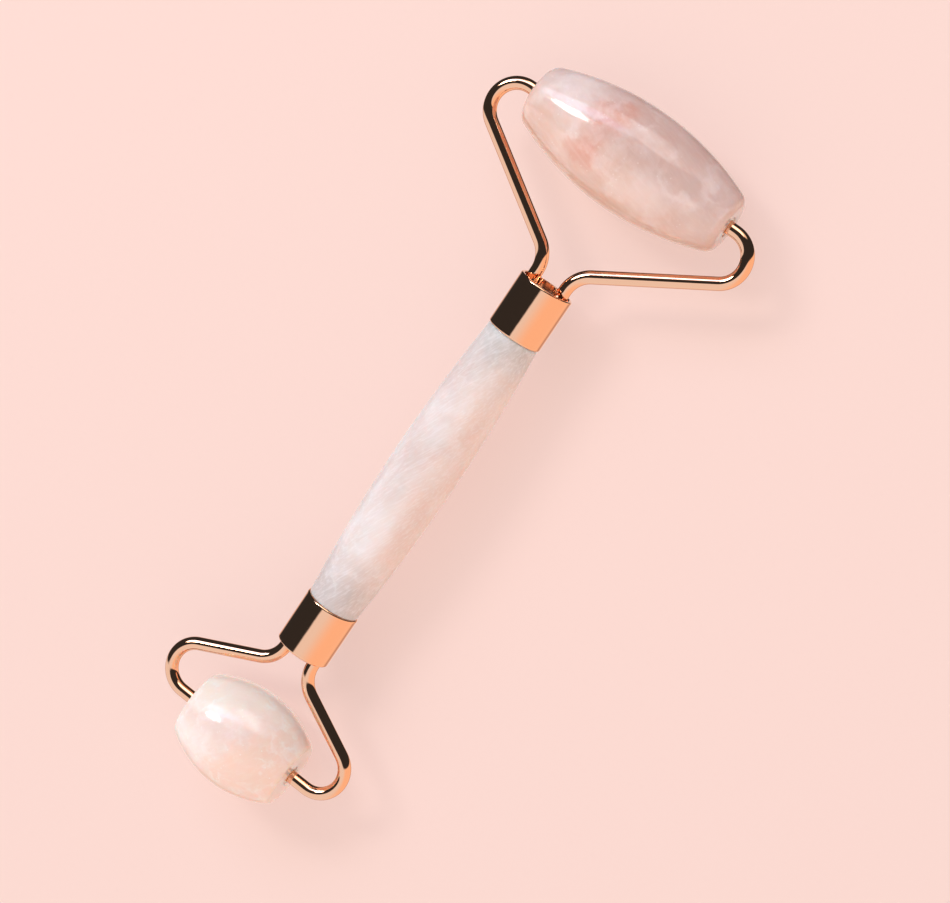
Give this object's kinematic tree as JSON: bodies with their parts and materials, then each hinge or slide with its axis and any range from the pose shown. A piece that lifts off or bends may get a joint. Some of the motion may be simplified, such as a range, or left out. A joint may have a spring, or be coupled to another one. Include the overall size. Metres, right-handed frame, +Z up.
{
  "type": "face roller",
  "caption": "Hand-held face massage roller: stone barrel handle with a wire fork at each end, a long stone roller on one and a short one on the other.",
  "frame": {"origin": "middle of the whole length and width, on the surface that both rollers rest on", "axes": "+X along the handle towards the large roller, +Y along the roller axes, +Z up from the surface it lies on"},
  "size_m": [0.1466, 0.0562, 0.0196],
  "materials": {
    "handle_quartz": "polished milky quartz with fine fibrous veins",
    "large_roller_quartz": "polished cloudy rose quartz",
    "small_roller_quartz": "polished pale translucent quartz",
    "rose_gold": "mirror-polished rose gold plating",
    "steel": "turned steel, not visible",
    "nylon": "moulded natural nylon"
  },
  "bodies": {
    "handle": {"handle_stone": "handle_quartz", "large_end_ferrule": "rose_gold", "large_end_plug": "rose_gold", "large_end_stud": "steel", "large_arm_left": "rose_gold", "large_arm_right": "rose_gold", "small_end_ferrule": "rose_gold", "small_end_plug": "rose_gold", "small_end_stud": "steel", "small_arm_left": "rose_gold", "small_arm_right": "rose_gold"},
    "large_roller": {"large_roller_stone": "large_roller_quartz", "large_bush_left": "nylon", "large_bush_right": "nylon"},
    "small_roller": {"small_roller_stone": "small_roller_quartz", "small_bush_left": "nylon", "small_bush_right": "nylon"}
  },
  "joints": [
    {"name": "large_roller_spin", "type": "hinge", "parent": "handle", "child": "large_roller", "pos_m": [0.06365, 0, 0.0098], "axis": [0, 1, 0], "continuous": true},
    {"name": "small_roller_spin", "type": "hinge", "parent": "handle", "child": "small_roller", "pos_m": [-0.0635, 0, 0.0098], "axis": [0, 1, 0], "continuous": true}
  ]
}
